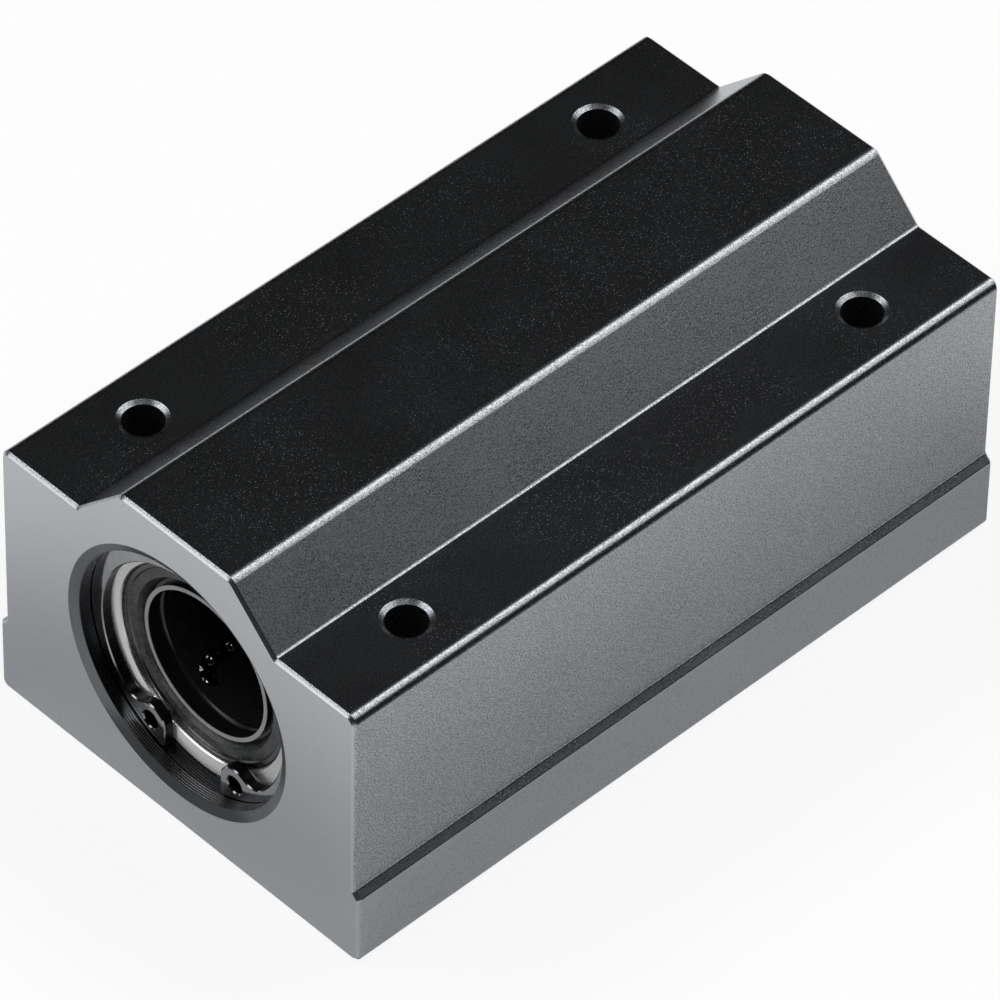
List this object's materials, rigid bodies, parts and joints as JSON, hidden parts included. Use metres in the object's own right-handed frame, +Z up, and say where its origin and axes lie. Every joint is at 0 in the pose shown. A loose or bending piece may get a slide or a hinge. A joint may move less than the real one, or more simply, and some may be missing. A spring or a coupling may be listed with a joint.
{
  "type": "linear bearing block",
  "caption": "Long aluminium bearing block with sealed linear ball bearings in a through bore, bolted down through its shoulders to carry a slide on a round shaft.",
  "frame": {"origin": "middle of the flat mounting face", "axes": "+X along the shaft, towards the far end; +Y across the block; +Z up, away from the mounting face"},
  "size_m": [0.085, 0.05, 0.0385],
  "materials": {
    "black_anodised": "fine matte black anodised extrusion with bright broken edges",
    "oiled_spring_steel": "dark oiled spring steel, glossy, bright worn edges",
    "ground_steel": "ground hardened steel",
    "end_ring_steel": "pressed steel",
    "ball_steel": "polished bearing balls",
    "spacer_steel": "turned steel",
    "cage_resin": "black moulded resin with a film of grease",
    "seal_rubber": "grey-black rubber"
  },
  "bodies": {
    "root": {"housing_block": "black_anodised", "near_retaining_ring": "oiled_spring_steel", "near_bearing_sleeve": "ground_steel", "near_ball_retainer": "cage_resin", "near_outer_end_ring": "end_ring_steel", "near_outer_seal": "seal_rubber", "near_inner_end_ring": "end_ring_steel", "near_inner_seal": "seal_rubber", "near_ball_circuit_1": "ball_steel", "near_ball_circuit_2": "ball_steel", "near_ball_circuit_3": "ball_steel", "near_ball_circuit_4": "ball_steel", "near_ball_circuit_5": "ball_steel", "far_retaining_ring": "oiled_spring_steel", "far_bearing_sleeve": "ground_steel", "far_ball_retainer": "cage_resin", "far_outer_end_ring": "end_ring_steel", "far_outer_seal": "seal_rubber", "far_inner_end_ring": "end_ring_steel", "far_inner_seal": "seal_rubber", "far_ball_circuit_1": "ball_steel", "far_ball_circuit_2": "ball_steel", "far_ball_circuit_3": "ball_steel", "far_ball_circuit_4": "ball_steel", "far_ball_circuit_5": "ball_steel", "spacer_sleeve": "spacer_steel"}
  },
  "joints": []
}
